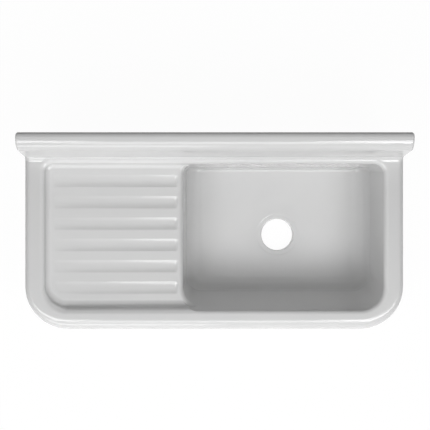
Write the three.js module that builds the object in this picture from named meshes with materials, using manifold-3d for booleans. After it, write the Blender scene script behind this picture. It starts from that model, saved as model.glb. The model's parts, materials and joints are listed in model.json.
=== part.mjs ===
// Kitchen sink with an integral drainboard and a backsplash.
// Millimetres, +Z up. The origin is the centre of the footprint on the surface the sink stands on;
// +X is the bowl end, -Y the front, and the back face at +Y goes against the wall.

import * as THREE from 'three';
import { mergeVertices } from 'three/addons/utils/BufferGeometryUtils.js';
import Module from 'manifold-3d';

const wasm = await Module();
wasm.setup();

// ---- driving dimensions ----

// outside of the casting
const sinkWidth = 1000;
const sinkDepth = 510;
const rimHeight = 220;
const rimWidth = 53;
const frontCornerRadius = 114;
const rimOuterRound = 25;
const rimInnerRound = 13;
const baseRound = 10;

// backsplash, standing on the back of the rim
const backRise = 127;
const backTopThickness = 43.5;
const backBaseThickness = 56;
const backCove = 15;
const backFrontCrest = 30;
const backRearCrest = 12.5;
const backEndRound = 6;
const ledgeWidth = 16;

// corners that lie inside other stock, and the least that a leaning corner keeps
const buriedCornerRadius = 2;
const leastCornerRadius = 6;

// bowl, at the right-hand end
const bowlLength = 532;
const bowlDepth = 190;
const sideLean = 13;
const frontLean = 31;
const bowlCornerRadius = 50;
const bowlRearCornerRadius = 26;
const bowlFloorRound = 42;
const bowlLipRound = 16;

// drainboard, at the left-hand end, falling towards the bowl
const boardDepthFar = 16;
const boardDepthNear = 30;
const boardCove = 20;
const boardCornerRadius = 34;
const boardThickness = 24;

// flat ribs of the drainboard, with round channels between them that deepen towards the bowl
const ribPitch = 57;
const ribCount = 5;
const ribHeight = 4;
const ribHeightFar = 1;
const ribMiddle = -17;
const ribSill = 0.5;
const channelWidth = 29.5;
const ribFrontGap = 8;
const ribFarGap = 11;
const ribBurial = 3;

// drain hole with its sunk seat, at the bottom of a shallow dish
const drainRadius = 44.5;
const drainSeatRadius = 57.5;
const drainSeatDepth = 3;
const drainEdge = 3;
const drainForward = 6;
const dishRadius = 115;
const dishFall = 6;

// underside hollow below the drainboard
const skirtWall = 28;
const dividerWall = 26;
const hollowRound = 22;

// wall hangers in their pockets in the back face
const hangerSpacing = 600;
const hangerHeadroom = 52;
const hangerWidth = 100;
const hangerPlate = 3;
const hangerHeight = 78;
const hangerTongue = 24;
const hangerScrewRadius = 3.5;
const hangerScrewSpacing = 60;
const lipThickness = 8;
const hangerSideClearance = 5;
const hangerDropClearance = 4;
const hangerClearance = 0.8;
const seatGap = 0.3;

const cornerSteps = 8;
const roundSteps = 4;

// ---- sizes worked out from them ----

const halfWidth = sinkWidth / 2;
const backY = sinkDepth / 2;
const frontY = -sinkDepth / 2;
const topHeight = rimHeight + backRise;
const recessLeft = -halfWidth + rimWidth;
const recessRight = halfWidth - rimWidth;
const recessFront = frontY + rimWidth;
const recessRear = backY - backBaseThickness - ledgeWidth;
const recessCorner = Math.max(frontCornerRadius - rimWidth, 5);
const bowlLeft = recessRight - bowlLength;
const bowlFloor = rimHeight - bowlDepth;
const drainX = (bowlLeft + recessRight) / 2;
const drainY = (recessFront + frontLean + recessRear - sideLean) / 2 - drainForward;
const clear = 10;

// ---- helpers ----

// A rectangle in plan with its own radius at each corner, anticlockwise from the rear right.
// z is a height, or a function of x where the level slopes.
function level({ left, right, front, rear, radii, z }) {
  const [rearRight, rearLeft, frontLeft, frontRight] = radii;
  const corners = [
    { x: right - rearRight, y: rear - rearRight, radius: rearRight, start: 0 },
    { x: left + rearLeft, y: rear - rearLeft, radius: rearLeft, start: Math.PI / 2 },
    { x: left + frontLeft, y: front + frontLeft, radius: frontLeft, start: Math.PI },
    { x: right - frontRight, y: front + frontRight, radius: frontRight, start: 1.5 * Math.PI },
  ];
  const points = [];
  for (const corner of corners) {
    for (let step = 0; step <= cornerSteps; step += 1) {
      const angle = corner.start + (step / cornerSteps) * (Math.PI / 2);
      const x = corner.x + corner.radius * Math.cos(angle);
      const y = corner.y + corner.radius * Math.sin(angle);
      points.push(new THREE.Vector3(x, y, typeof z === 'function' ? z(x) : z));
    }
  }
  return points;
}

// A closed solid through a pile of levels, lowest first, with as many points in each.
function loft(levels) {
  const count = levels[0].length;
  const positions = levels.flat().flatMap((point) => point.toArray());
  const triangles = [];
  for (let ring = 0; ring < levels.length - 1; ring += 1) {
    for (let point = 0; point < count; point += 1) {
      const a = ring * count + point;
      const b = ring * count + ((point + 1) % count);
      triangles.push(a, b, b + count, a, b + count, a + count);
    }
  }
  const top = (levels.length - 1) * count;
  const flat = (points) => points.map((point) => new THREE.Vector2(point.x, point.y));
  for (const [a, b, c] of THREE.ShapeUtils.triangulateShape(flat(levels[0]), [])) {
    triangles.push(c, b, a);
  }
  for (const [a, b, c] of THREE.ShapeUtils.triangulateShape(flat(levels.at(-1)), [])) {
    triangles.push(top + a, top + b, top + c);
  }
  const geometry = new THREE.BufferGeometry();
  geometry.setAttribute('position', new THREE.Float32BufferAttribute(positions, 3));
  geometry.setIndex(triangles);
  return geometry;
}

// Turns a shape drawn in the side view (across = Y, up = Z) and extruded, so that it runs along X.
const sideView = new THREE.Matrix4().makeBasis(
  new THREE.Vector3(0, 1, 0),
  new THREE.Vector3(0, 0, 1),
  new THREE.Vector3(1, 0, 0),
);

function alongX(shape, from, to) {
  const geometry = new THREE.ExtrudeGeometry(shape, { depth: to - from, bevelEnabled: false });
  return geometry.translate(0, 0, from).applyMatrix4(sideView);
}

function solidOf(geometry) {
  const bare = geometry.clone();
  bare.deleteAttribute('normal');
  bare.deleteAttribute('uv');
  const merged = mergeVertices(bare, 1e-4);
  return new wasm.Manifold(new wasm.Mesh({
    numProp: 3,
    vertProperties: merged.attributes.position.array,
    triVerts: new Uint32Array(merged.index.array),
  }));
}

function geometryOf(solid) {
  const mesh = solid.getMesh();
  const geometry = new THREE.BufferGeometry();
  geometry.setAttribute('position', new THREE.BufferAttribute(mesh.vertProperties, mesh.numProp));
  geometry.setIndex(new THREE.BufferAttribute(mesh.triVerts, 1));
  geometry.computeVertexNormals();
  return geometry;
}

// Steps of a quarter turn, as [sine, 1 - cosine] pairs from 0 to 90 degrees.
function quarter(steps) {
  return Array.from({ length: steps + 1 }, (unused, step) => {
    const angle = (step / steps) * (Math.PI / 2);
    return [Math.sin(angle), 1 - Math.cos(angle)];
  });
}

// How far the drainboard lies below the rim, at a place along it.
function boardDepth(x) {
  const along = (x - recessLeft) / (bowlLeft - recessLeft);
  return THREE.MathUtils.lerp(boardDepthFar, boardDepthNear, along);
}

// ---- the casting ----

// Rim and apron: a rounded block whose back end runs into the backsplash.
function apronBlock() {
  const rear = backY - backBaseThickness / 2;
  const outline = (inset, z) => level({
    left: -halfWidth + inset,
    right: halfWidth - inset,
    front: frontY + inset,
    rear,
    radii: [
      buriedCornerRadius, buriedCornerRadius, frontCornerRadius - inset, frontCornerRadius - inset,
    ],
    z,
  });
  const base = quarter(roundSteps).map(([sine, rest]) => outline(baseRound * (1 - sine), baseRound * rest));
  const rim = quarter(roundSteps + 2).map(([sine, rest]) => (
    outline(rimOuterRound * rest, rimHeight - rimOuterRound * (1 - sine))
  ));
  return loft([...base, ...rim]);
}

// Backsplash in side view: thick at the foot, leaning back a little, with a rounded top.
function backsplashBlock() {
  const footY = backY - backBaseThickness;
  const headY = backY - backTopThickness;
  const lean = Math.atan2(headY - footY, backRise);
  const shape = new THREE.Shape();
  shape.moveTo(backY, 0);
  shape.lineTo(backY, topHeight - backRearCrest);
  shape.absarc(backY - backRearCrest, topHeight - backRearCrest, backRearCrest, 0, Math.PI / 2, false);
  shape.absarc(
    headY + backFrontCrest, topHeight - backFrontCrest, backFrontCrest, Math.PI / 2, Math.PI - lean, false,
  );
  const coveX = footY - backCove;
  shape.absarc(coveX, rimHeight + backCove, backCove, -lean, -Math.PI / 2, true);
  shape.lineTo(coveX, 0);
  const geometry = new THREE.ExtrudeGeometry(shape, {
    depth: sinkWidth - 2 * backEndRound,
    curveSegments: roundSteps,
    bevelThickness: backEndRound,
    bevelSize: backEndRound,
    bevelOffset: -backEndRound,
    bevelSegments: roundSteps - 1,
  });
  return geometry.translate(0, 0, -halfWidth + backEndRound).applyMatrix4(sideView);
}

// Shallow hollow over the drainboard. It opens at the top in a rounded edge and ends in a cove.
function boardHollow() {
  const right = bowlLeft + bowlCornerRadius + boardCove;
  const edgeShare = Math.min(rimInnerRound / boardDepthNear, 0.7);
  const outline = (outset, share) => level({
    left: recessLeft - outset,
    right,
    front: recessFront - outset,
    rear: recessRear + outset,
    radii: [
      buriedCornerRadius, boardCornerRadius + outset, recessCorner + outset, buriedCornerRadius,
    ],
    z: share < 0 ? rimHeight + clear : (x) => rimHeight - boardDepth(x) * share,
  });
  const cove = quarter(roundSteps).map(([sine, rest]) => (
    outline(-boardCove * (1 - sine), 1 - (1 - edgeShare) * rest)
  ));
  const edge = quarter(roundSteps).slice(1).map(([sine, rest]) => (
    outline(rimInnerRound * rest, edgeShare * (1 - sine))
  ));
  return loft([...cove, ...edge, outline(rimInnerRound, -1)]);
}

// Ribbed surface of the drainboard: one outline in side view, which rises out of the far end.
function boardRibs() {
  const firstChannel = ribMiddle - (ribCount / 2) * ribPitch;
  const frontEdge = recessFront + ribFrontGap;
  const rearEdge = recessRear - ribFrontGap;
  const channelSteps = 8;
  const wave = [[frontEdge, 1]];
  for (let channel = 0; channel <= ribCount; channel += 1) {
    const channelFront = firstChannel + channel * ribPitch;
    // a shallower sink has room for fewer channels
    if (channelFront > frontEdge && channelFront + channelWidth < rearEdge) {
      for (let step = 0; step <= channelSteps; step += 1) {
        const share = (2 * step) / channelSteps - 1;
        wave.push([channelFront + (channelWidth * step) / channelSteps, share ** 2]);
      }
    }
  }
  wave.push([rearEdge, 1]);
  const start = recessLeft + ribFarGap;
  const sections = [start, bowlLeft, bowlLeft + bowlCornerRadius].map((x) => {
    const along = Math.min((x - start) / (bowlLeft - start), 1);
    const height = THREE.MathUtils.lerp(ribHeightFar, ribHeight, along);
    const ground = rimHeight - boardDepth(x);
    const points = wave.map(([y, share]) => new THREE.Vector3(y, ground + ribSill + share * height, x));
    const under = [rearEdge, frontEdge].map((y) => new THREE.Vector3(y, ground - ribBurial, x));
    return [...points, ...under].reverse();
  });
  return loft(sections).applyMatrix4(sideView);
}

// Bowl, from the rounded floor up. Its left side opens over the edge of the drainboard.
function bowlHollow() {
  const boardTop = rimHeight - boardDepthNear + ribHeight;
  const outline = (z, cove) => {
    const sunk = Math.max(rimHeight - rimInnerRound - z, 0) / (bowlDepth - rimInnerRound);
    const lean = sideLean * sunk + cove;
    const rimOut = roundOver(z, rimHeight, rimInnerRound);
    const lipOut = roundOver(z, boardTop, bowlLipRound);
    const corner = Math.max(bowlCornerRadius - lean, leastCornerRadius);
    const rearCorner = Math.max(bowlRearCornerRadius - lean, leastCornerRadius);
    return level({
      left: bowlLeft + lean - lipOut,
      right: recessRight - lean + rimOut,
      front: recessFront + frontLean * sunk + cove - rimOut,
      rear: recessRear - lean + rimOut,
      radii: [
        rearCorner + rimOut, rearCorner, corner,
        Math.max(recessCorner - lean, leastCornerRadius) + rimOut,
      ],
      z,
    });
  };
  const floor = quarter(roundSteps + 2).map(([sine, rest]) => (
    outline(bowlFloor + bowlFloorRound * rest, bowlFloorRound * (1 - sine))
  ));
  const lip = quarter(roundSteps).map(([sine]) => outline(boardTop - bowlLipRound * (1 - sine), 0));
  const edge = quarter(roundSteps).slice(1).map(([sine]) => (
    outline(rimHeight - rimInnerRound * (1 - sine), 0)
  ));
  return loft([...floor, ...lip, ...edge, outline(rimHeight + clear, 0)]);
}

// How far an edge rounded at the given height has opened out, at height z.
function roundOver(z, top, radius) {
  const up = THREE.MathUtils.clamp((z - (top - radius)) / radius, 0, 1);
  return radius * (1 - Math.sqrt(1 - up * up));
}

// Dish, sunk seat and drain hole, turned about the drain's own axis.
function drainCut() {
  const dishFloor = bowlFloor - dishFall;
  const seat = dishFloor - drainSeatDepth;
  const profile = [
    [0, -clear],
    [drainRadius, -clear],
    [drainRadius, seat - drainEdge],
    [drainRadius + drainEdge, seat],
    [drainSeatRadius, seat],
    [drainSeatRadius + drainSeatDepth, dishFloor],
    [dishRadius, bowlFloor],
    [dishRadius, bowlFloor + clear],
    [0, bowlFloor + clear],
  ].map(([radius, z]) => new THREE.Vector2(radius, z));
  const geometry = new THREE.LatheGeometry(profile, 48);
  return geometry.rotateX(Math.PI / 2).translate(drainX, drainY, 0);
}

// Hollow under the drainboard, open below.
function undersideHollow() {
  const underside = (x) => rimHeight - boardDepth(x) - boardThickness;
  const outline = (inset, z) => level({
    left: -halfWidth + skirtWall + inset,
    right: bowlLeft - dividerWall - inset,
    front: frontY + skirtWall + inset,
    rear: backY - skirtWall - inset,
    radii: [hollowRound, hollowRound, frontCornerRadius - skirtWall, hollowRound].map((radius) => (
      Math.max(radius - inset, buriedCornerRadius)
    )),
    z,
  });
  const top = quarter(roundSteps).map(([sine, rest]) => (
    outline(hollowRound * rest, (x) => underside(x) - hollowRound * (1 - sine))
  ));
  return loft([outline(0, -clear), ...top]);
}

// Side-view places of a hanger's faces, or with a clearance, of the pocket round it.
function hangerSection(grow) {
  const plateFront = backY - hangerPlate - grow;
  const tongueBack = backY - lipThickness - hangerClearance + grow;
  const tongueFront = tongueBack - hangerPlate - 2 * grow;
  const bridge = topHeight - hangerHeadroom;
  return { plateFront, tongueBack, tongueFront, bridge };
}

// Pocket for one hanger, with the slot behind the lip that the hanger's tongue goes up into.
function hangerPocket(x) {
  const { tongueBack, tongueFront, bridge } = hangerSection(hangerClearance);
  const bottom = bridge - hangerHeight - hangerDropClearance;
  const slotTop = bridge + hangerTongue + seatGap;
  const shape = new THREE.Shape([
    new THREE.Vector2(backY + clear, bottom),
    new THREE.Vector2(backY + clear, bridge + hangerDropClearance),
    new THREE.Vector2(tongueBack, bridge + hangerDropClearance),
    new THREE.Vector2(tongueBack, slotTop),
    new THREE.Vector2(tongueFront, slotTop),
    new THREE.Vector2(tongueFront, bottom),
  ]);
  const half = hangerWidth / 2 + hangerSideClearance;
  return alongX(shape, x - half, x + half);
}

function sinkBody() {
  let body = solidOf(apronBlock()).add(solidOf(backsplashBlock()));
  body = body.subtract(solidOf(boardHollow()));
  body = body.add(solidOf(boardRibs()));
  const cuts = [bowlHollow(), drainCut(), undersideHollow()];
  for (const side of [-1, 1]) {
    cuts.push(hangerPocket((side * hangerSpacing) / 2));
  }
  for (const cut of cuts) {
    body = body.subtract(solidOf(cut));
  }
  return body;
}

// ---- the wall hangers ----

// A bent steel plate: screwed flat to the wall, cranked forward, with a tongue that carries the sink.
function wallHanger() {
  const { plateFront, tongueBack, tongueFront, bridge } = hangerSection(0);
  const shape = new THREE.Shape([
    new THREE.Vector2(backY, bridge - hangerHeight),
    new THREE.Vector2(backY, bridge),
    new THREE.Vector2(tongueBack, bridge),
    new THREE.Vector2(tongueBack, bridge + hangerTongue),
    new THREE.Vector2(tongueFront, bridge + hangerTongue),
    new THREE.Vector2(tongueFront, bridge - hangerPlate),
    new THREE.Vector2(plateFront, bridge - hangerPlate),
    new THREE.Vector2(plateFront, bridge - hangerHeight),
  ]);
  let hanger = solidOf(alongX(shape, -hangerWidth / 2, hangerWidth / 2));
  for (const side of [-1, 1]) {
    const hole = new THREE.CylinderGeometry(hangerScrewRadius, hangerScrewRadius, 4 * hangerPlate, 20);
    hole.translate((side * hangerScrewSpacing) / 2, backY, bridge - hangerHeight / 2);
    hanger = hanger.subtract(solidOf(hole));
  }
  return hanger;
}

// ---- scene graph ----

const glaze = new THREE.MeshStandardMaterial({ color: 0xe8e8e7, roughness: 0.12, metalness: 0 });
const zincSteel = new THREE.MeshStandardMaterial({ color: 0xa9adb0, roughness: 0.42, metalness: 1 });

function piece(name, solid, material) {
  const mesh = new THREE.Mesh(geometryOf(solid), material);
  mesh.name = name;
  return mesh;
}

const sink = new THREE.Group();
sink.add(piece('sink_body', sinkBody(), glaze));

const hangers = new THREE.Group();
for (const [name, side] of [['wall_hanger_left', -1], ['wall_hanger_right', 1]]) {
  const hanger = piece(name, wallHanger(), zincSteel.clone());
  hanger.position.x = (side * hangerSpacing) / 2;
  hangers.add(hanger);
}
sink.add(hangers);

export default sink;
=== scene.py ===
import json
import math

import bmesh
import bpy
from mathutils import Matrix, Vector

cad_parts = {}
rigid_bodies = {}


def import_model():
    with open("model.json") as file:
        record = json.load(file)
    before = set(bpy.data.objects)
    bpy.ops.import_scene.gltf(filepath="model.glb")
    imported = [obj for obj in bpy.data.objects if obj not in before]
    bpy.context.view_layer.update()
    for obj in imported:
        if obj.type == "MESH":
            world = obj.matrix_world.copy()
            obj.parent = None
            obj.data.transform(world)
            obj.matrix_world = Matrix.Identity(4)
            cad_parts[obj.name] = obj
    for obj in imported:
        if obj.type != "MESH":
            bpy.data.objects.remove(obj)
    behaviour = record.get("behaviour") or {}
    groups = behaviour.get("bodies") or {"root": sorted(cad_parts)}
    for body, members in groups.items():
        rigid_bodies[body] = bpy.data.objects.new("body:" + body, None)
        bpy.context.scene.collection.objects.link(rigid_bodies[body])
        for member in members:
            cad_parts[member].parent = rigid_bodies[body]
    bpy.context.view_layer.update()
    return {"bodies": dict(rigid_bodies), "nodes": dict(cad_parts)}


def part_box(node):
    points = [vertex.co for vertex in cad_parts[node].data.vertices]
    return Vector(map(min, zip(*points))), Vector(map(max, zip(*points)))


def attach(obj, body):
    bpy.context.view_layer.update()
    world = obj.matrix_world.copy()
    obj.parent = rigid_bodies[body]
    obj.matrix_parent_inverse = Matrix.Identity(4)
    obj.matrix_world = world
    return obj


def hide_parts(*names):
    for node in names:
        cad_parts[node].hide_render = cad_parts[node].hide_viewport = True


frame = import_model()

scene = bpy.context.scene
body = list(frame["bodies"])[0]
castingLow, castingHigh = (Vector(corner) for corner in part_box("sink_body"))


# the camera looks straight down on the sink, as the photograph does

view = {
    "height": 2.700,         # of the lens, over the floor
    "place": (-0.0349, 0.0348),
    "lens": 78.90,
    "sensor": 36,
    "shift": (0.0326, 0.0116),
}


def makeCamera():
    data = bpy.data.cameras.new("camera")
    data.lens = view["lens"]
    data.sensor_width = view["sensor"]
    data.shift_x, data.shift_y = view["shift"]
    camera = bpy.data.objects.new("camera", data)
    camera.location = (*view["place"], view["height"])
    scene.collection.objects.link(camera)
    scene.camera = camera


makeCamera()
print("camera placed")


# what every shape uses

touching = 1e-5              # two places closer than this are the same
cornerSteps = 12             # of each upright corner


def near(a, b):
    return abs(a - b) < touching


def newBlock(low, high):
    bm = bmesh.new()
    bmesh.ops.create_cube(bm, size=1)
    bmesh.ops.scale(bm, vec=[b - a for a, b in zip(low, high)], verts=bm.verts)
    bmesh.ops.translate(bm, vec=[(a + b) / 2 for a, b in zip(low, high)], verts=bm.verts)
    return bm


def newProfile(points, left, right):
    # a solid with the side view that the points give in Y and Z, from left to right along X
    bm = bmesh.new()
    face = bm.faces.new([bm.verts.new((left, y, z)) for y, z in points])
    made = bmesh.ops.extrude_face_region(bm, geom=[face])
    moved = [part for part in made["geom"] if isinstance(part, bmesh.types.BMVert)]
    bmesh.ops.translate(bm, vec=(right - left, 0, 0), verts=moved)
    bmesh.ops.recalc_face_normals(bm, faces=bm.faces)
    return bm


def newTurned(points, centre, steps):
    # a solid turned about an upright axis from radii and heights
    bm = bmesh.new()
    line = [bm.verts.new((radius, 0, z)) for radius, z in points]
    edges = [bm.edges.new(pair) for pair in zip(line, line[1:])]
    bmesh.ops.spin(bm, geom=line + edges, cent=(0, 0, 0), axis=(0, 0, 1), angle=math.tau,
                   steps=steps, use_merge=True)
    bmesh.ops.remove_doubles(bm, verts=bm.verts, dist=touching)
    bmesh.ops.translate(bm, vec=(*centre, 0), verts=bm.verts)
    return bm


def edgesWhere(bm, test):
    return [edge for edge in bm.edges if all(test(vert.co) for vert in edge.verts)]


def roundEdges(bm, edges, radius, segments, clamp=True):
    bmesh.ops.bevel(bm, geom=edges, offset=radius, offset_type="OFFSET", segments=segments,
                    profile=0.5, affect="EDGES", material=-1, clamp_overlap=clamp)


def roundCorner(bm, x, y, radius):
    # rounds the upright edge at one corner of the plan
    upright = edgesWhere(bm, lambda co: near(co.x, x) and near(co.y, y))
    roundEdges(bm, upright, radius, cornerSteps)


def toObject(name, bm):
    bmesh.ops.recalc_face_normals(bm, faces=bm.faces)
    mesh = bpy.data.meshes.new(name)
    bm.to_mesh(mesh)
    bm.free()
    obj = bpy.data.objects.new(name, mesh)
    scene.collection.objects.link(obj)
    return obj


def settle(obj):
    # keeps what the modifiers make and drops the modifiers
    graph = bpy.context.evaluated_depsgraph_get()
    mesh = bpy.data.meshes.new_from_object(obj.evaluated_get(graph))
    obj.modifiers.clear()
    obj.data = mesh


def combine(obj, tool, operation):
    cut = obj.modifiers.new("cut", "BOOLEAN")
    cut.object = tool
    cut.operation = operation
    cut.solver = "MANIFOLD"
    settle(obj)
    bpy.data.objects.remove(tool)


# the casting: rims, apron, backsplash, bowl and drainboard in one

casting = {
    "rimHeight": 0.220,
    "rimWidth": 0.053,
    "frontCorner": 0.114,
    "outerRound": 0.031,     # of the rim in front
    "outerSteps": 10,
    "sideRound": 0.016,      # and at its sides
    "sideSteps": 6,
    "innerRound": 0.013,     # down into the bowl and the drainboard
    "footRound": 0.010,
    "footSteps": 5,
    "apronEnd": 0.008,       # from its rear face to the back, which the backsplash fills
    "backFoot": 0.0560,      # thickness of the backsplash where it stands on the rim
    "backHead": 0.0435,
    "frontCrest": 0.0300,    # rounding of its top edges
    "rearCrest": 0.0125,
    "crestSteps": 8,
    "backEnd": 0.006,        # rounding of its ends
    "backEndSteps": 5,
    "backCove": 0.017,       # round between it and the rim
    "backCoveSteps": 8,
    "ledge": 0.016,          # level part of the rim in front of it
    "overRim": 0.04,         # how far the hollows' tools rise over the rim
    "sharpAngle": 40,        # edges that turn more stay sharp
    "normalWeight": 100,     # how much the larger faces decide the shading
}
rimZ = casting["rimHeight"]
recess = {
    "left": castingLow.x + casting["rimWidth"],
    "right": castingHigh.x - casting["rimWidth"],
    "front": castingLow.y + casting["rimWidth"],
    "rear": castingHigh.y - casting["backFoot"] - casting["ledge"],
    "corner": casting["frontCorner"] - casting["rimWidth"],
}


def fromOutline(x, y):
    # how far inside the outline of the rim a place lies, and which way is straight out
    radius, side = casting["frontCorner"], math.copysign(1, x)
    away = Vector((x, y)) - Vector((side * (castingHigh.x - radius), castingLow.y + radius))
    if away.x * side <= 0:
        return y - castingLow.y, Vector((0, -1))
    if away.y >= 0:
        return castingHigh.x - abs(x), Vector((side, 0))
    return radius - away.length, away.normalized()


def makeApron():
    rear = castingHigh.y - casting["apronEnd"]
    bm = newBlock((castingLow.x, castingLow.y, castingLow.z), (castingHigh.x, rear, rimZ))
    for x in (castingLow.x, castingHigh.x):
        roundCorner(bm, x, castingLow.y, casting["frontCorner"])
    shoulder, sole = (
        [edge for edge in edgesWhere(bm, lambda co: near(co.z, z))
         if not all(near(vert.co.y, rear) for vert in edge.verts)]
        for z in (rimZ, castingLow.z))
    wide = casting["outerRound"]
    roundEdges(bm, shoulder, wide, casting["outerSteps"], clamp=False)
    roundEdges(bm, sole, casting["footRound"], casting["footSteps"])
    for vert in bm.verts:
        # the rounding is tighter at the sides than in front
        inside, out = fromOutline(vert.co.x, vert.co.y)
        if vert.co.z > rimZ - wide - touching and inside < wide + touching:
            tight = 1 - (1 - casting["sideRound"] / wide) * (1 - out.y ** 2)
            vert.co.xy += out * inside * (1 - tight)
            vert.co.z = rimZ - (rimZ - vert.co.z) * tight
    return toObject("apron", bm)


# the cove is one edge of a block that lies in the rim and in the backsplash

coveBlock = {
    "into": 0.002,           # of the cove's corner, into the backsplash
    "lean": 0.012,           # of the face that stands there
    "height": 0.070,
    "behind": 0.040,
    "reach": 0.030,          # of its lower part, forwards and down
    "sunk": 0.0003,          # clear of the rim's faces
    "upward": 0.05,          # least rise of a normal that looks up
}


def makeBackCove():
    sunk, reach = coveBlock["sunk"], coveBlock["reach"]
    foot = castingHigh.y - casting["backFoot"] + coveBlock["into"]
    low, top, rear = rimZ - sunk, rimZ + coveBlock["height"], foot + coveBlock["behind"]
    bm = newProfile([(rear, low - reach), (rear, top), (foot + coveBlock["lean"], top),
                     (foot, low), (foot - reach, low), (foot - reach, low - reach)],
                    castingLow.x + sunk, castingHigh.x - sunk)
    inside = edgesWhere(bm, lambda co: near(co.z, low) and near(co.y, foot))
    roundEdges(bm, inside, casting["backCove"], casting["backCoveSteps"])
    bm.normal_update()
    ends = [edge for edge in edgesWhere(bm, lambda co: co.z > low - touching)
            if sum(face.normal.z > coveBlock["upward"] for face in edge.link_faces) == 1
            and near(edge.verts[0].co.x, edge.verts[1].co.x)
            and not all(near(vert.co.z, top) for vert in edge.verts)]
    roundEdges(bm, ends, casting["sideRound"], casting["sideSteps"], clamp=False)
    return toObject("backCove", bm)


def makeBacksplash():
    back, head = castingHigh.y, castingHigh.z
    foot = back - casting["backFoot"]
    bm = newProfile([(back, castingLow.z), (back, head), (back - casting["backHead"], head),
                     (foot, rimZ), (foot, castingLow.z)], castingLow.x, castingHigh.x)
    crests = [edge for edge in edgesWhere(bm, lambda co: near(co.z, head))
              if not near(edge.verts[0].co.x, edge.verts[1].co.x)]
    for edge in sorted(crests, key=lambda edge: edge.verts[0].co.y):
        crest = "rearCrest" if near(edge.verts[0].co.y, back) else "frontCrest"
        roundEdges(bm, [edge], casting[crest], casting["crestSteps"])
    ends = [edge for edge in bm.edges if near(edge.verts[0].co.x, edge.verts[1].co.x)
            and not all(near(vert.co.z, castingLow.z) for vert in edge.verts)]
    roundEdges(bm, ends, casting["backEnd"], casting["backEndSteps"])
    return toObject("backsplash", bm)


# the drainboard, which falls towards the bowl, and its ribs

board = {
    "depthFar": 0.0200,      # of the flat ribs below the rim
    "depthNear": 0.0320,
    "cove": 0.014,
    "coveShare": 0.97,       # of the cove's height that its round takes
    "coveSteps": 8,
    "openSteps": 6,          # of the round between its walls and the rim
    "frontLean": 0.012,
    "corner": 0.022,         # at the rear left
    "thickness": 0.0285,     # over the hollow of the underside, at the bowl
    "thicknessFar": 0.0255,
    "ribPitch": 0.0568,
    "ribs": 5,               # between two channels, with one more at each edge
    "ribMiddle": -0.0195,
    "channel": 0.0330,       # width of the round channels between the ribs
    "channelDepth": 0.0046,  # at the bowl
    "channelDepthFar": 0.0010,
    "channelEdge": 0.15,     # how softly they meet the ribs
    "channelStart": (0.008, 0.018),  # from the left wall
    "channelEnd": (0.0210, 0.0090),  # from the bowl
}
bowl = {
    "left": -0.085,
    "depth": 0.190,
    "sideLean": 0.013,
    "rearLean": 0.002,
    "frontLean": 0.038,      # down to the rounding of the floor
    "frontCorner": 0.050,    # beside the drainboard
    "rearCorner": 0.026,
    "leastCorner": 0.008,
    "floorRound": 0.044,
    "rearFloorRound": 0.012,
    "lipRound": 0.013,       # between the drainboard and the bowl
    "lipLift": 0.0001,       # of its top, clear of the drainboard
    "steps": 10,             # of each quarter round
}
floorZ = rimZ - bowl["depth"]


def onBoard(x, farEnd, atBowl):
    # a size that changes evenly from the far end of the drainboard to the bowl
    share = (x - recess["left"]) / (bowl["left"] - recess["left"])
    return farEnd + (atBowl - farEnd) * share


def boardDepth(x):
    return onBoard(x, board["depthFar"], board["depthNear"])


def raiseTop(bm, z, low, high):
    # carries the top face up to height z and fits it between two corners of the plan
    top = max(bm.faces, key=lambda face: face.calc_center_median().z)
    made = bmesh.ops.extrude_discrete_faces(bm, faces=[top])
    corners = made["faces"][0].verts[:]
    for axis, (start, end) in enumerate(zip(low, high)):
        least = min(vert.co[axis] for vert in corners)
        most = max(vert.co[axis] for vert in corners)
        for vert in corners:
            along = (vert.co[axis] - least) / (most - least)
            vert.co[axis] = start + along * (end - start)
    for vert in corners:
        vert.co.z = z


def makeBoardHollow():
    left, front, rear = recess["left"], recess["front"], recess["rear"]
    right = bowl["left"] + bowl["frontCorner"]
    out = casting["innerRound"]
    deep = board["cove"] + out
    bm = newBlock((left, front, rimZ - deep), (right, rear, rimZ - out))
    roundCorner(bm, left, front, recess["corner"])
    roundCorner(bm, left, rear, board["corner"])
    base = [edge for edge in edgesWhere(bm, lambda co: near(co.z, rimZ - deep))
            if not all(near(vert.co.x, right) for vert in edge.verts)]
    roundEdges(bm, base, board["cove"] * board["coveShare"], board["coveSteps"])
    # its walls open out to the rim in a quarter round, and then go on up
    for step in range(1, board["openSteps"] + 1):
        angle = step / board["openSteps"] * math.pi / 2
        grow = out * (1 - math.cos(angle))
        raiseTop(bm, rimZ - out * (1 - math.sin(angle)),
                 (left - grow, front - grow), (right, rear + grow))
    raiseTop(bm, rimZ + casting["overRim"], (left - out, front - out), (right, rear + out))
    for vert in bm.verts:
        share = (rimZ - vert.co.z) / deep
        if share > 0:
            vert.co.z = rimZ - boardDepth(vert.co.x) * share
            vert.co.y += board["frontLean"] * share * (rear - vert.co.y) / (rear - front)
    return toObject("boardHollow", bm)


# the channels are cut by a skin that lies on the ribs and dips into the channels

channelSkin = {
    "margin": 0.006,         # of skin in front of the channels and behind them
    "past": 0.001,           # and past their ends
    "rows": 270,
    "endCuts": 6,            # across each end of the channels
    "cuts": (-0.42, -0.41, -0.40, -0.38, -0.35, -0.25, -0.16),  # and between the ends
    "trim": 0.00005,         # how far it lies in the ribs, and over them round its edge
    "edge": 0.003,           # width over which it rises at its edge
    "cornerGap": 0.004,      # from the cove of the board's front left corner
    "cornerFade": 0.012,     # width over which the channels run out before that gap
    "cornerClimb": 1.5,      # how steeply it rises past that gap, and how far at most
    "cornerTop": 0.015,
    "overRim": 0.01,         # height of its room over the rim
}


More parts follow.
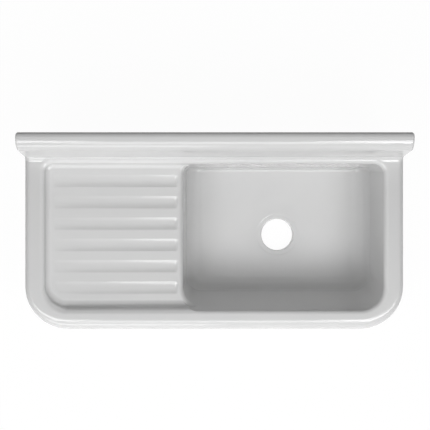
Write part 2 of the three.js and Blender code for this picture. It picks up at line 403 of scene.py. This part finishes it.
def channelShape(y):
    # 0 in the middle of a channel, 1 on the ribs, with the edge between them rounded
    pitch, width, soft = board["ribPitch"], board["channel"], board["channelEdge"]
    first = board["ribMiddle"] - board["ribs"] / 2 * pitch + width / 2
    place = min(max(round((y - first) / pitch), 0), board["ribs"])
    arc = ((y - first - place * pitch) / (width / 2)) ** 2
    blend = max(soft - abs(arc - 1), 0) / soft
    return min(arc, 1) - blend * blend * soft / 4


def smoothStep(value, low, high):
    share = min(max((value - low) / (high - low), 0), 1)
    return share * share * (3 - 2 * share)


def makeChannels():
    startLow, startHigh = (recess["left"] + gap for gap in board["channelStart"])
    endLow, endHigh = (bowl["left"] - gap for gap in board["channelEnd"])
    left, right = startLow - channelSkin["past"], endHigh + channelSkin["past"]
    middle = board["ribMiddle"] + board["channel"] / 2
    half = board["ribs"] / 2 * board["ribPitch"] + board["channel"] / 2 + channelSkin["margin"]
    front, rear = middle - half, middle + half
    parts = channelSkin["endCuts"]
    cuts = [low + step * (high - low) / parts
            for low, high in ((startLow, startHigh), (endLow, endHigh))
            for step in range(parts + 1)]
    # the flat part of the board ends in a round at its front left corner
    cornerX = recess["left"] + recess["corner"]
    cornerY = recess["front"] + recess["corner"] + board["frontLean"]
    cornerFlat = recess["corner"] - board["cove"] - channelSkin["cornerGap"]
    bm = bmesh.new()
    bmesh.ops.create_grid(bm, x_segments=1, y_segments=channelSkin["rows"], size=0.5)
    for vert in bm.verts:
        vert.co = (left + (vert.co.x + 0.5) * (right - left),
                   front + (vert.co.y + 0.5) * (rear - front), rimZ)
    for x in sorted(cuts + list(channelSkin["cuts"])):
        bmesh.ops.bisect_plane(bm, geom=bm.verts[:] + bm.edges[:] + bm.faces[:],
                               plane_co=(x, 0, 0), plane_no=(1, 0, 0))
    for vert in bm.verts:
        x, y = vert.co.x, vert.co.y
        corner = Vector((max(cornerX - x, 0), max(cornerY - y, 0))).length - cornerFlat
        climb = min(max(corner, 0) * channelSkin["cornerClimb"], channelSkin["cornerTop"])
        keep = smoothStep(x, startLow, startHigh) * (1 - smoothStep(x, endLow, endHigh))
        keep *= 1 - smoothStep(corner, -channelSkin["cornerFade"], 0)
        inside = keep * smoothStep(min(y - front, rear - y), 0, channelSkin["edge"])
        deep = onBoard(x, board["channelDepthFar"], board["channelDepth"])
        vert.co.z -= (boardDepth(x) + deep * (1 - channelShape(y)) * keep
                      + channelSkin["trim"] * (2 * inside - 1) - climb)
    made = bmesh.ops.extrude_face_region(bm, geom=bm.faces[:])
    for part in made["geom"]:
        if isinstance(part, bmesh.types.BMVert):
            part.co.z = rimZ + channelSkin["overRim"]
    return toObject("channels", bm)


def roundedRing(bm, z, left, right, front, rear, radii):
    # a level outline with rounded corners, from the front left corner round to the rear left
    steps = bowl["steps"]
    ring = bmesh.ops.create_circle(bm, segments=4 * (steps + 1), radius=1)["verts"]
    places = ((left, front), (right, front), (right, rear), (left, rear))
    for number, vert in enumerate(ring):
        index, step = divmod(number, steps + 1)
        x, y = places[index]
        radius = radii[index]
        angle = math.pi * (1 + index / 2 + step / steps / 2)
        vert.co.x = x + radius * ((1 if x == left else -1) + math.cos(angle))
        vert.co.y = y + radius * ((1 if y == front else -1) + math.sin(angle))
        vert.co.z = z
    return [bm.edges.get(pair) for pair in zip(ring, ring[1:] + ring[:1])]


def quarterOut(rise, radius):
    # how far a quarter round has gone sideways when it has risen so far
    share = min(max(rise / radius, 0), 1)
    return radius * (1 - math.sqrt(1 - share * share))


def makeBowlHollow():
    flare = rimZ - casting["innerRound"]
    lipRound = bowl["lipRound"]
    lipTop = rimZ - boardDepth(bowl["left"] - lipRound) + bowl["lipLift"]
    wide, tight = bowl["floorRound"], bowl["rearFloorRound"]
    turns = [math.sin(step / bowl["steps"] * math.pi / 2) for step in range(bowl["steps"] + 1)]
    heights = {floorZ + radius * (1 - turn) for radius in (wide, tight) for turn in turns}
    heights |= {lipTop - lipRound * (1 - turn) for turn in turns}
    heights |= {rimZ - casting["innerRound"] * (1 - turn) for turn in turns}
    bm = bmesh.new()
    rings = []
    for z in sorted(heights) + [rimZ + casting["overRim"]]:
        sunk = max((flare - z) / (flare - floorZ), 0)
        frontSunk = min(max((flare - z) / (flare - floorZ - wide), 0), 1)
        lean = bowl["sideLean"] * sunk
        cove = quarterOut(floorZ + wide - z, wide)
        rearCove = quarterOut(floorZ + tight - z, tight)
        out = quarterOut(z - flare, casting["innerRound"])
        lip = quarterOut(z - lipTop + lipRound, lipRound)
        corners = [bowl["frontCorner"] - cove, recess["corner"] - cove,
                   bowl["rearCorner"] - rearCove, bowl["rearCorner"] - rearCove]
        radii = [max(corner - lean, bowl["leastCorner"]) for corner in corners]
        radii = [radii[0]] + [radius + out for radius in radii[1:]]
        rings.append(roundedRing(bm, z, bowl["left"] + lean + cove - lip,
                                 recess["right"] - lean - cove + out,
                                 recess["front"] + bowl["frontLean"] * frontSunk + cove - out,
                                 recess["rear"] - bowl["rearLean"] * sunk - rearCove + out,
                                 radii))
    for low, high in zip(rings, rings[1:]):
        bmesh.ops.bridge_loops(bm, edges=low + high)
    for end in (rings[0], rings[-1]):
        bmesh.ops.edgeloop_fill(bm, edges=end)
    return toObject("bowlHollow", bm)


# the hollow below the drainboard

underside = {
    "wall": 0.028,
    "bowlWall": 0.026,
    "corner": 0.022,
    "topRound": 0.020,
    "topSteps": 6,
    "below": 0.02,           # how far its tool reaches under the foot
}


def makeUnderside():
    wall, corner = underside["wall"], underside["corner"]
    left, right = castingLow.x + wall, bowl["left"] - underside["bowlWall"]
    front, rear = castingLow.y + wall, castingHigh.y - wall
    bm = newBlock((left, front, castingLow.z - underside["below"]), (right, rear, rimZ))
    for vert in bm.verts:
        if near(vert.co.z, rimZ):
            vert.co.z = rimZ - boardDepth(vert.co.x) - onBoard(
                vert.co.x, board["thicknessFar"], board["thickness"])
    for x, y, radius in ((left, front, casting["frontCorner"] - wall), (right, front, corner),
                         (right, rear, corner), (left, rear, corner)):
        roundCorner(bm, x, y, radius)
    roundEdges(bm, edgesWhere(bm, lambda co: co.z > rimZ / 2), underside["topRound"],
               underside["topSteps"])
    return toObject("underside", bm)


# drain hole and seat, at the bottom of the bowl's dish

drain = {
    "centre": (0.181, -0.0065),
    "dishRadius": 0.115,
    "dishFall": 0.006,
    "dishLift": 0.00005,     # of its edge, clear of the bowl's floor
    "dishSteps": 20,         # from its middle to its edge
    # radii and heights over the dish's lowest point, from the seat's edge down to the hole
    "section": [(0.0610, 0.00295), (0.0600, 0.00283), (0.0588, 0.00260), (0.0576, 0.00230),
                (0.0564, 0.00207), (0.0550, 0.00196), (0.0535, 0.00190), (0.0480, 0.00185),
                (0.0464, 0.00150), (0.0452, 0.00060), (0.0446, -0.00100), (0.0445, -0.00350),
                (0.0445, -0.0600), (0.0, -0.0600)],
    "toolTop": 0.03,
    "turns": 96,             # faces round the hole
}


def makeDrainCut():
    radius, fall, steps = drain["dishRadius"], drain["dishFall"], drain["dishSteps"]
    line = [(0, drain["toolTop"]), (radius, drain["toolTop"])]
    # the seat takes up the inner half of the dish
    for step in range(steps, steps // 2, -1):
        share = step / steps
        line.append((radius * share, fall + drain["dishLift"] - fall * (1 - share ** 2) ** 2))
    low = floorZ - fall
    bm = newTurned([(r, low + z) for r, z in line + drain["section"]], drain["centre"],
                   drain["turns"])
    return toObject("drainCut", bm)


# room in the back face for the two wall hangers

hangers = ("wall_hanger_left", "wall_hanger_right")
pocket = {
    "beside": 0.005,
    "before": 0.0008,
    "below": 0.004,
    "above": 0.0003,
    "past": 0.02,            # how far its tool stands out of the back face
    "corner": 0.004,
    "cornerSteps": 3,
}


def makePockets():
    bm = bmesh.new()
    for name in hangers:
        low, high = (Vector(corner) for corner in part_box(name))
        room = newBlock(
            (low.x - pocket["beside"], low.y - pocket["before"], low.z - pocket["below"]),
            (high.x + pocket["beside"], castingHigh.y + pocket["past"], high.z + pocket["above"]))
        upright = [edge for edge in room.edges if near(edge.verts[0].co.x, edge.verts[1].co.x)
                   and near(edge.verts[0].co.z, edge.verts[1].co.z)]
        roundEdges(room, upright, pocket["corner"], pocket["cornerSteps"])
        mesh = bpy.data.meshes.new("room")
        room.to_mesh(mesh)
        room.free()
        bm.from_mesh(mesh)
        bpy.data.meshes.remove(mesh)
    return toObject("pockets", bm)


def makeCasting():
    piece = makeApron()
    piece.name = "sinkCasting"
    for makeAdded in (makeBackCove, makeBacksplash):
        combine(piece, makeAdded(), "UNION")
    for makeTool in (makeBoardHollow, makeBowlHollow, makeDrainCut, makeUnderside, makePockets,
                     makeChannels):
        combine(piece, makeTool(), "DIFFERENCE")
    piece.data.shade_smooth()
    piece.data.set_sharp_from_angle(angle=math.radians(casting["sharpAngle"]))
    normals = piece.modifiers.new("normals", "WEIGHTED_NORMAL")
    normals.keep_sharp = True
    normals.weight = casting["normalWeight"]
    settle(piece)
    print("casting:", sum(len(face.vertices) - 2 for face in piece.data.polygons), "triangles")
    return piece


# glaze, bare clay and plating; tone and smear are the scale and detail of the noise
# between the colour and its shade, and between the two values of roughness

glazeLook = {
    "colour": (0.632, 0.632, 0.630),
    "shade": (0.618, 0.619, 0.620),
    "tone": (7, 3),
    "roughness": (0.08, 0.14),
    "smear": (18, 2),
    "ripple": 0.0015,
    "rippleHeight": 0.001,
    "rippleNoise": (30, 1),
    "ior": 1.5,
}
clayLook = {
    "colour": (0.58, 0.54, 0.47),
    "shade": (0.50, 0.46, 0.39),
    "tone": (90, 4),
    "rougher": 0.68,         # than the glaze
    "back": 0.0004,          # how near to the back face it is bare
    "foot": 0.0030,          # how high up from the floor
    "slab": 0.165,           # and how high up in the hollow of the underside
    "wall": 0.0255,          # between that hollow and the outer faces, and the bowl
    "soft": 0.0015,          # width over which the glaze runs out
}
zincLook = {
    "colour": (0.62, 0.64, 0.66),
    "shade": (0.50, 0.52, 0.54),
    "tone": (140, 4),
    "roughness": (0.30, 0.48),
    "smear": (60, 3),
}


def newMaterial(name):
    material = bpy.data.materials.new(name)
    material.use_nodes = True
    tree = material.node_tree
    return material, tree, tree.nodes["Principled BSDF"]


def addNode(tree, kind, settings=None, **inputs):
    node = tree.nodes.new(kind)
    for key, value in (settings or {}).items():
        setattr(node, key, value)
    for key, value in inputs.items():
        node.inputs[key].default_value = value
    return node


def addNoise(tree, place, scale, detail):
    noise = addNode(tree, "ShaderNodeTexNoise", Scale=scale, Detail=detail)
    tree.links.new(place.outputs["Object"], noise.inputs["Vector"])
    return noise.outputs["Fac"]


def addSpread(tree, value, low, high, fromLow=0.3, fromHigh=0.7):
    # low to high as the value goes from fromLow to fromHigh, which is where most noise lies
    node = addNode(tree, "ShaderNodeMapRange")
    tree.links.new(value, node.inputs["Value"])
    for key, number in (("From Min", fromLow), ("From Max", fromHigh), ("To Min", low),
                        ("To Max", high)):
        node.inputs[key].default_value = number
    return node.outputs["Result"]


def addBlend(tree, share, first, second):
    # inputs 6 and 7 and output 2 are the node's colours, which share their names with others
    node = addNode(tree, "ShaderNodeMix", {"data_type": "RGBA"})
    tree.links.new(share, node.inputs["Factor"])
    for socket, colour in ((node.inputs[6], first), (node.inputs[7], second)):
        if isinstance(colour, tuple):
            socket.default_value = (*colour, 1)
        else:
            tree.links.new(colour, socket)
    return node.outputs[2]


def addMath(tree, operation, *values):
    node = addNode(tree, "ShaderNodeMath", {"operation": operation})
    for socket, value in zip(node.inputs, values):
        if isinstance(value, (int, float)):
            socket.default_value = value
        else:
            tree.links.new(value, socket)
    return node.outputs["Value"]


def addTone(tree, place, look):
    tone = addSpread(tree, addNoise(tree, place, *look["tone"]), 0, 1)
    return addBlend(tree, tone, look["colour"], look["shade"])


def addRoughness(tree, place, look):
    return addSpread(tree, addNoise(tree, place, *look["smear"]), *look["roughness"])


def addBareMask(tree, place):
    # 1 where the clay is bare: the back face, the foot and the hollow of the underside
    soft, wall = clayLook["soft"], clayLook["wall"]
    back = castingHigh.y - clayLook["back"]
    split = addNode(tree, "ShaderNodeSeparateXYZ")
    tree.links.new(place.outputs["Object"], split.inputs["Vector"])
    x, y, z = split.outputs
    backFace = addSpread(tree, y, 0, 1, back - soft, back)
    foot = addSpread(tree, z, 1, 0, clayLook["foot"], clayLook["foot"] + soft)
    inHollow = addSpread(tree, z, 1, 0, clayLook["slab"], clayLook["slab"] + soft)
    for value, low, high in ((x, castingLow.x + wall, bowl["left"] - wall),
                             (y, castingLow.y + wall, castingHigh.y - wall)):
        inHollow = addMath(tree, "MINIMUM", inHollow,
                           addSpread(tree, value, 0, 1, low - soft, low))
        inHollow = addMath(tree, "MINIMUM", inHollow,
                           addSpread(tree, value, 1, 0, high, high + soft))
    # and its round front corner
    squares = []
    for value, low in ((x, castingLow.x), (y, castingLow.y)):
        short = addMath(tree, "SUBTRACT", low + casting["frontCorner"], value)
        squares.append(addMath(tree, "POWER", addMath(tree, "MAXIMUM", short, 0), 2))
    reach = addMath(tree, "SQRT", addMath(tree, "ADD", *squares))
    edge = casting["frontCorner"] - wall
    inHollow = addMath(tree, "MINIMUM", inHollow,
                       addSpread(tree, reach, 1, 0, edge, edge + soft))
    return addMath(tree, "MAXIMUM", addMath(tree, "MAXIMUM", backFace, foot), inHollow)


def makeGlaze():
    material, tree, shader = newMaterial("whiteGlaze")
    place = addNode(tree, "ShaderNodeTexCoord")
    bare = addBareMask(tree, place)
    colour = addBlend(tree, bare, addTone(tree, place, glazeLook), addTone(tree, place, clayLook))
    rough = addMath(tree, "MULTIPLY_ADD", bare, clayLook["rougher"],
                    addRoughness(tree, place, glazeLook))
    bump = addNode(tree, "ShaderNodeBump", Strength=glazeLook["ripple"],
                   Distance=glazeLook["rippleHeight"])
    tree.links.new(addNoise(tree, place, *glazeLook["rippleNoise"]), bump.inputs["Height"])
    tree.links.new(colour, shader.inputs["Base Color"])
    tree.links.new(rough, shader.inputs["Roughness"])
    tree.links.new(bump.outputs["Normal"], shader.inputs["Normal"])
    shader.inputs["IOR"].default_value = glazeLook["ior"]
    return material


def makeZinc():
    material, tree, shader = newMaterial("zincPlate")
    place = addNode(tree, "ShaderNodeTexCoord")
    tree.links.new(addTone(tree, place, zincLook), shader.inputs["Base Color"])
    tree.links.new(addRoughness(tree, place, zincLook), shader.inputs["Roughness"])
    shader.inputs["Metallic"].default_value = 1.0
    return material


sinkCasting = makeCasting()
sinkCasting.data.materials.clear()
sinkCasting.data.materials.append(makeGlaze())
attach(sinkCasting, body)
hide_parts("sink_body")
zinc = makeZinc()
for name in hangers:
    for slot in frame["nodes"][name].material_slots:
        slot.material = zinc
print("pieces made")


# floor, lamps and world

studio = {
    "white": (1, 1, 1, 1),
    "world": 0.02,           # strength of the light from all round
    # place, size and power of each soft lamp
    "lamps": {
        "front": ((0.2, -2.05, 2.45), (2.2, 0.80), 23),
        "frontRight": ((1.39, -1.39, 2.52), (1.3, 1.3), 38),
        "frontLeft": ((-1.39, -1.39, 2.52), (1.3, 1.3), 34),
        "low": ((-1.0, -2.9, 1.0), (2.2, 0.8), 21),
        "rear": ((0, 2.45, 2.06), (2.4, 1.0), 9),
        "top": ((0, 0.2, 3.3), (1.6, 1.0), 3),
    },
    "lampAim": (0, 0, 0.15),
    "shadow": 0.03,          # how much of the object's shadow the floor shows
    "floor": 8,              # half its width
}


def addSeenShare(tree):
    # 1 where the camera sees a thing, directly, mirrored or through glass
    path = addNode(tree, "ShaderNodeLightPath")
    mirrored = addMath(tree, "MAXIMUM", path.outputs["Is Camera Ray"],
                       path.outputs["Is Glossy Ray"])
    return addMath(tree, "MAXIMUM", mirrored, path.outputs["Is Transmission Ray"])


def showBoth(tree, share, unseen, seen, output):
    mix = addNode(tree, "ShaderNodeMixShader")
    for socket, value in zip(mix.inputs, (share, unseen.outputs[0], seen.outputs[0])):
        tree.links.new(value, socket)
    tree.links.new(mix.outputs[0], output.inputs["Surface"])


def makeFloor():
    bm = bmesh.new()
    bmesh.ops.create_grid(bm, x_segments=1, y_segments=1, size=studio["floor"])
    obj = toObject("floor", bm)
    material, tree, shader = newMaterial("floorWhite")
    tree.nodes.remove(shader)
    diffuse = addNode(tree, "ShaderNodeBsdfDiffuse", Color=studio["white"])
    glow = addNode(tree, "ShaderNodeEmission", Color=studio["white"], Strength=1)
    share = addMath(tree, "MULTIPLY", addSeenShare(tree), 1 - studio["shadow"])
    showBoth(tree, share, diffuse, glow, tree.nodes["Material Output"])
    obj.data.materials.append(material)


def makeLamp(name, place, size, power):
    data = bpy.data.lights.new(name, "AREA")
    data.shape = "RECTANGLE"
    data.size, data.size_y = size
    data.energy = power
    lamp = bpy.data.objects.new(name, data)
    lamp.location = place
    aim = Vector(studio["lampAim"]) - lamp.location
    lamp.rotation_euler = aim.to_track_quat("-Z", "Y").to_euler()
    scene.collection.objects.link(lamp)


def makeWorld():
    world = bpy.data.worlds.new("studio")
    scene.world = world
    world.use_nodes = True
    tree = world.node_tree
    light = tree.nodes["Background"]
    light.inputs["Color"].default_value = studio["white"]
    light.inputs["Strength"].default_value = studio["world"]
    white = addNode(tree, "ShaderNodeBackground", Color=studio["white"], Strength=1)
    showBoth(tree, addSeenShare(tree), light, white, tree.nodes["World Output"])


makeFloor()
for name, (place, size, power) in studio["lamps"].items():
    makeLamp(name, place, size, power)
makeWorld()
scene.view_settings.view_transform = "Standard"
print("studio set")
